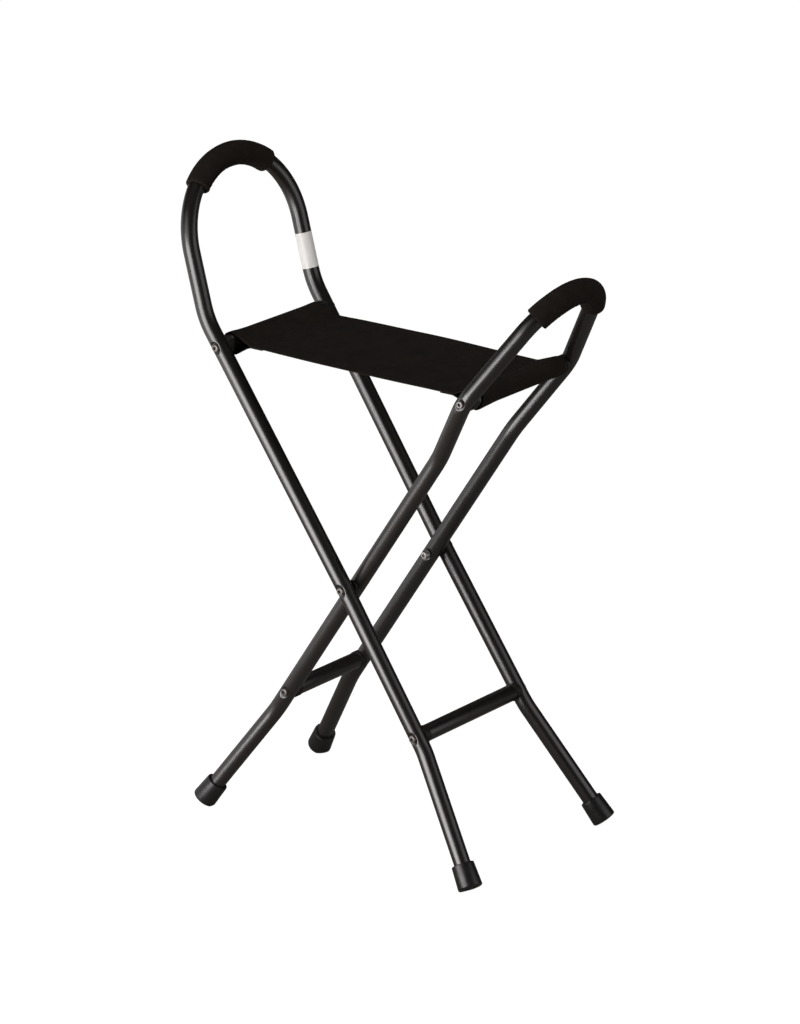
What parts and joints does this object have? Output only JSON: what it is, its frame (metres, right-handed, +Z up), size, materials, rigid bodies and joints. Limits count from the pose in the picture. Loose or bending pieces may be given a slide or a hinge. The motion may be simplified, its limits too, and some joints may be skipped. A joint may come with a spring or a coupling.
{
  "type": "walking stick seat",
  "caption": "Folding sling seat and walking cane in one: two bent tube frames crossed on a scissor pivot, a fabric sling between them, foam grips on both handle loops and rubber feet.",
  "frame": {"origin": "on the floor, under the middle of the open object's bounding box", "axes": "+Z up; +X from the tall handle loop towards the short one, along the sling; +Y across the seat, towards the far side"},
  "size_m": [0.5966, 0.3212, 0.8848],
  "materials": {
    "black_tube": "satin black coating",
    "black_plastic": "moulded, semi-matt",
    "screw_steel": "zinc plated",
    "grip_foam": "closed-cell foam, matt",
    "ferrule_rubber": "moulded rubber, semi-gloss",
    "disc_steel": "plain",
    "label_film": "plain printed film",
    "sling_fabric": "coated polyester weave"
  },
  "bodies": {
    "tall_frame": {"tall_frame_tube": "black_tube", "tall_seat_bar": "black_tube", "tall_seat_near_plug": "black_plastic", "tall_seat_far_plug": "black_plastic", "tall_lower_bar": "black_tube", "tall_lower_near_plug": "black_plastic", "tall_lower_far_plug": "black_plastic", "tall_bar_screws": "screw_steel", "near_pivot_barrel": "screw_steel", "far_pivot_barrel": "screw_steel", "near_pivot_screw": "screw_steel", "far_pivot_screw": "screw_steel", "near_pivot_spacer": "black_plastic", "far_pivot_spacer": "black_plastic", "tall_grip": "grip_foam", "tall_near_ferrule": "ferrule_rubber", "tall_far_ferrule": "ferrule_rubber", "tall_ferrule_discs": "disc_steel", "blank_label": "label_film", "seat_sling": "sling_fabric"},
    "short_frame": {"short_frame_tube": "black_tube", "short_seat_bar": "black_tube", "short_seat_near_plug": "black_plastic", "short_seat_far_plug": "black_plastic", "short_lower_bar": "black_tube", "short_lower_near_plug": "black_plastic", "short_lower_far_plug": "black_plastic", "short_bar_screws": "screw_steel", "short_grip": "grip_foam", "short_near_ferrule": "ferrule_rubber", "short_far_ferrule": "ferrule_rubber", "short_ferrule_discs": "disc_steel"}
  },
  "joints": [
    {"name": "fold", "type": "hinge", "parent": "tall_frame", "child": "short_frame", "pos_m": [-0.00968, 0, 0.35118], "axis": [0, -1, 0], "range_deg": [0, 62], "deforming": ["seat_sling"]}
  ]
}
